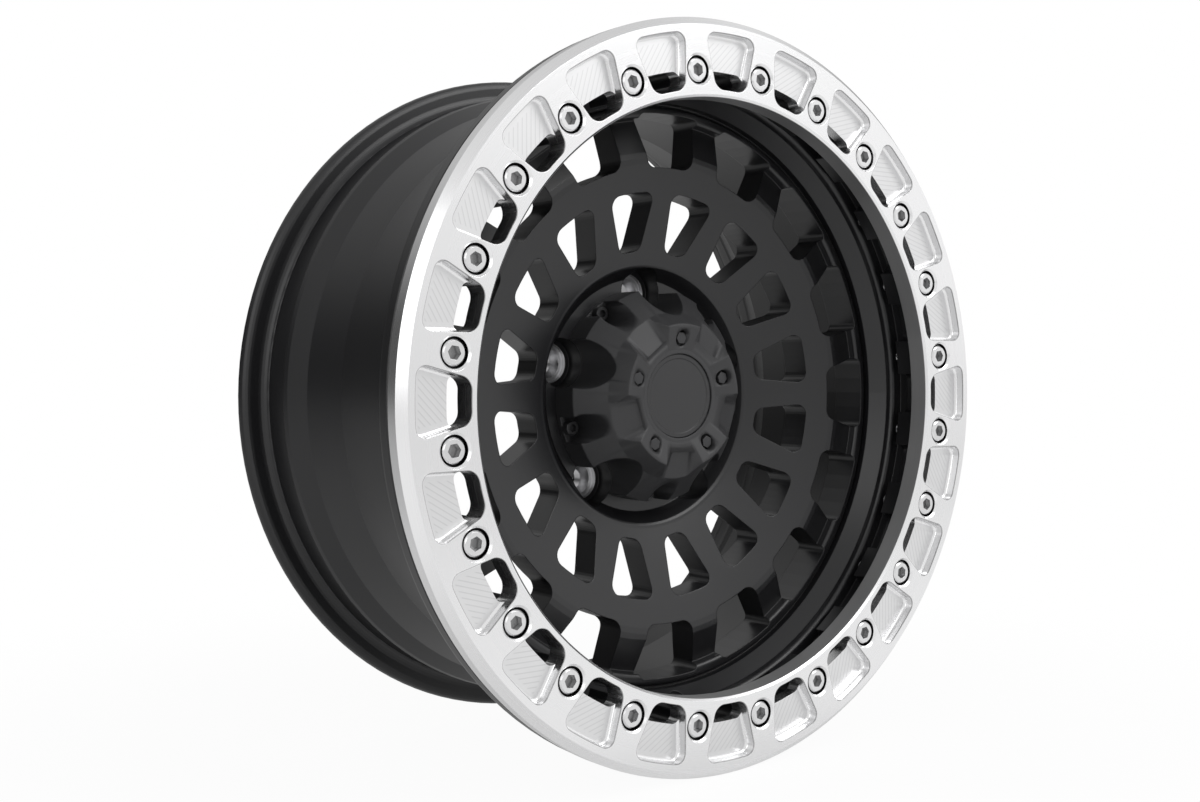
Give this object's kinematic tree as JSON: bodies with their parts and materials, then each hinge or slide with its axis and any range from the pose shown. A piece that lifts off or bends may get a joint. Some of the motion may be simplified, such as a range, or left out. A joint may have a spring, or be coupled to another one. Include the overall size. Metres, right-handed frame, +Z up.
{
  "type": "beadlock wheel",
  "caption": "Off-road car wheel with two rows of windows in a deep conical disc, a bolted beadlock ring with pockets round its lip, and a screwed centre cap.",
  "frame": {"origin": "centre of the hub mounting pad, where the wheel axis meets it", "axes": "+Y along the wheel axis towards the car, -Y towards the street, +Z up, +X to the right as seen from the street; the valve hole is at the bottom"},
  "size_m": [0.5119, 0.2442, 0.512],
  "materials": {
    "casting": "satin black powder coat",
    "ring": "bare, machined",
    "bolt": "plain stainless",
    "cap": "matte dark grey",
    "badge": "satin dark grey",
    "cap_bolt": "plain steel",
    "cap_screw": "black oxide"
  },
  "bodies": {
    "root": {"wheel_casting": "casting", "beadlock_ring": "ring", "ring_bolt_01": "bolt", "ring_bolt_02": "bolt", "ring_bolt_03": "bolt", "ring_bolt_04": "bolt", "ring_bolt_05": "bolt", "ring_bolt_06": "bolt", "ring_bolt_07": "bolt", "ring_bolt_08": "bolt", "ring_bolt_09": "bolt", "ring_bolt_10": "bolt", "ring_bolt_11": "bolt", "ring_bolt_12": "bolt", "ring_bolt_13": "bolt", "ring_bolt_14": "bolt", "ring_bolt_15": "bolt", "ring_bolt_16": "bolt", "ring_bolt_17": "bolt", "ring_bolt_18": "bolt", "ring_bolt_19": "bolt", "ring_bolt_20": "bolt", "ring_bolt_21": "bolt", "ring_bolt_22": "bolt", "ring_bolt_23": "bolt", "ring_bolt_24": "bolt", "centre_cap": "cap", "cap_badge": "badge", "cap_face_bolt_1": "cap_bolt", "cap_face_bolt_2": "cap_bolt", "cap_face_bolt_3": "cap_bolt", "cap_face_bolt_4": "cap_bolt", "cap_face_bolt_5": "cap_bolt", "cap_screw_1": "cap_screw", "cap_screw_2": "cap_screw", "cap_screw_3": "cap_screw", "cap_screw_4": "cap_screw", "cap_screw_5": "cap_screw"}
  },
  "joints": []
}
